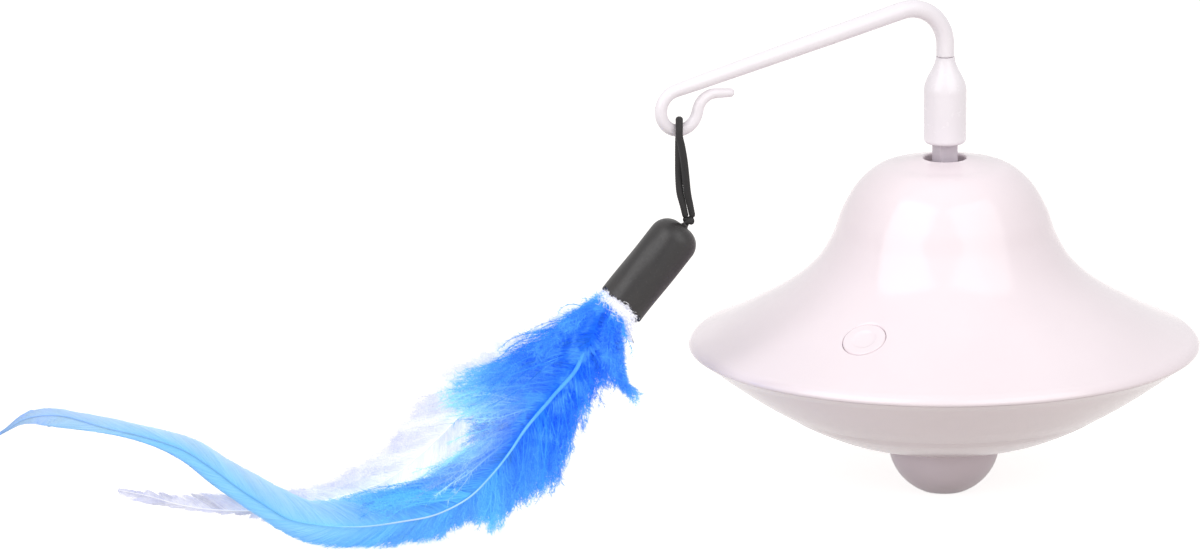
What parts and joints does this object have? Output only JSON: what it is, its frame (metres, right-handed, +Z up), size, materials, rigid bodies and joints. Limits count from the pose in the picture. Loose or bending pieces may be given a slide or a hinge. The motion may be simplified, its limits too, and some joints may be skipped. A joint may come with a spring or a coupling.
{
  "type": "electronic cat toy",
  "caption": "Bell-shaped battery toy on a ball foot, with a geared drive that turns a plug-in hooked wand carrying an elastic loop, a rubber cap and dyed feathers.",
  "frame": {"origin": "centre of the flat under the ball foot", "axes": "+Z up along the drive shaft and the body's axis; the picture looks along +Y, with the wand and feathers out to -X and a little towards the camera"},
  "size_m": [0.2967, 0.1599, 0.1251],
  "materials": {
    "body_gloss": "glossy white with a faint pink cast",
    "foot_plastic": "satin",
    "inner_plastic": "as moulded",
    "shaft_plastic": "as moulded, grey lilac",
    "steel": "zinc plated",
    "weight_iron": "as cast",
    "brass": "turned",
    "board_green": "solder mask",
    "cell_foil": "foil pouch",
    "switch_black": "as moulded",
    "lead_red": "satin sleeve",
    "cap_rubber": "matte black with a soft lengthwise sheen",
    "loop_black": "braided elastic",
    "feather_blue": "dyed feather, deep blue to pale blue",
    "feather_white": "white feather"
  },
  "bodies": {
    "housing": {"upper_shell": "body_gloss", "lower_shell": "body_gloss", "bottom_cover": "body_gloss", "ball_foot": "foot_plastic", "counterweight": "weight_iron", "weight_screw_1": "steel", "weight_screw_2": "steel", "weight_screw_3": "steel", "gearbox_frame": "inner_plastic", "gearbox_top_plate": "inner_plastic", "gearbox_screw_1": "steel", "gearbox_screw_2": "steel", "gearbox_screw_3": "steel", "chassis_screw_1": "steel", "chassis_screw_2": "steel", "chassis_screw_3": "steel", "output_bush": "brass", "gear_pin_1": "steel", "gear_pin_2": "steel", "motor_can": "steel", "motor_end_cap": "inner_plastic", "motor_screw_1": "steel", "motor_screw_2": "steel", "battery_tray": "inner_plastic", "battery_cell": "cell_foil", "tray_screw_1": "steel", "tray_screw_2": "steel", "control_board": "board_green", "board_screw_1": "steel", "board_screw_2": "steel", "tact_switch": "switch_black", "button_board": "board_green", "switch_screw_1": "steel", "switch_screw_2": "steel", "charging_socket": "steel", "charge_board": "board_green", "battery_lead": "lead_red", "motor_lead": "lead_red", "switch_lead": "lead_red", "charge_lead": "lead_red"},
    "drive": {"output_gear": "inner_plastic", "drive_shaft": "shaft_plastic"},
    "idler_1": {"compound_gear_1": "inner_plastic"},
    "idler_2": {"compound_gear_2": "inner_plastic"},
    "rotor": {"motor_armature": "steel", "motor_pinion": "brass"},
    "button": {"power_button": "body_gloss"},
    "wand": {"arm_socket": "body_gloss", "arm_rod": "body_gloss"},
    "loop": {"lure_cord": "loop_black", "lure_knot": "loop_black"},
    "lure": {"lure_cap": "cap_rubber", "feather_binding": "feather_white", "blue_feather": "feather_blue", "white_feather": "feather_white", "short_feather": "feather_blue"}
  },
  "joints": [
    {"name": "drive_spin", "type": "hinge", "parent": "housing", "child": "drive", "pos_m": [0, 0, 0.07], "axis": [0, 0, 1], "continuous": true},
    {"name": "idler_2_spin", "type": "hinge", "parent": "housing", "child": "idler_2", "pos_m": [0.0125, 0, 0.059], "axis": [0, 0, 1], "continuous": true},
    {"name": "idler_1_spin", "type": "hinge", "parent": "housing", "child": "idler_1", "pos_m": [0.00721, 0.01021, 0.057], "axis": [0, 0, 1], "continuous": true},
    {"name": "motor_spin", "type": "hinge", "parent": "housing", "child": "rotor", "pos_m": [-0.00418, 0.01178, 0.045], "axis": [0, 0, 1], "continuous": true},
    {"name": "button_press", "type": "slide", "parent": "housing", "child": "button", "axis": [0.2275, 0.4445, -0.8664], "range_m": [0, 0.0008], "stiffness_N_per_m": 1200, "springref_m": -0.0002},
    {"name": "wand_pull", "type": "slide", "parent": "drive", "child": "wand", "axis": [0, 0, 1], "range_m": [0, 0.012]},
    {"name": "loop_swing", "type": "hinge", "parent": "wand", "child": "loop", "pos_m": [-0.06567, -0.03346, 0.09895], "axis": [-0.891, -0.454, 0], "range_deg": [-60, 60]},
    {"name": "lure_tilt", "type": "hinge", "parent": "loop", "child": "lure", "pos_m": [-0.06335, -0.03228, 0.07594], "axis": [-0.3535, 0.9354, 0], "range_deg": [-30, 50]}
  ],
  "couplings": [
    {"joint": "idler_2_spin", "follows": "drive_spin", "ratio": -4},
    {"joint": "idler_1_spin", "follows": "drive_spin", "ratio": 14.4},
    {"joint": "motor_spin", "follows": "drive_spin", "ratio": -51.84}
  ]
}
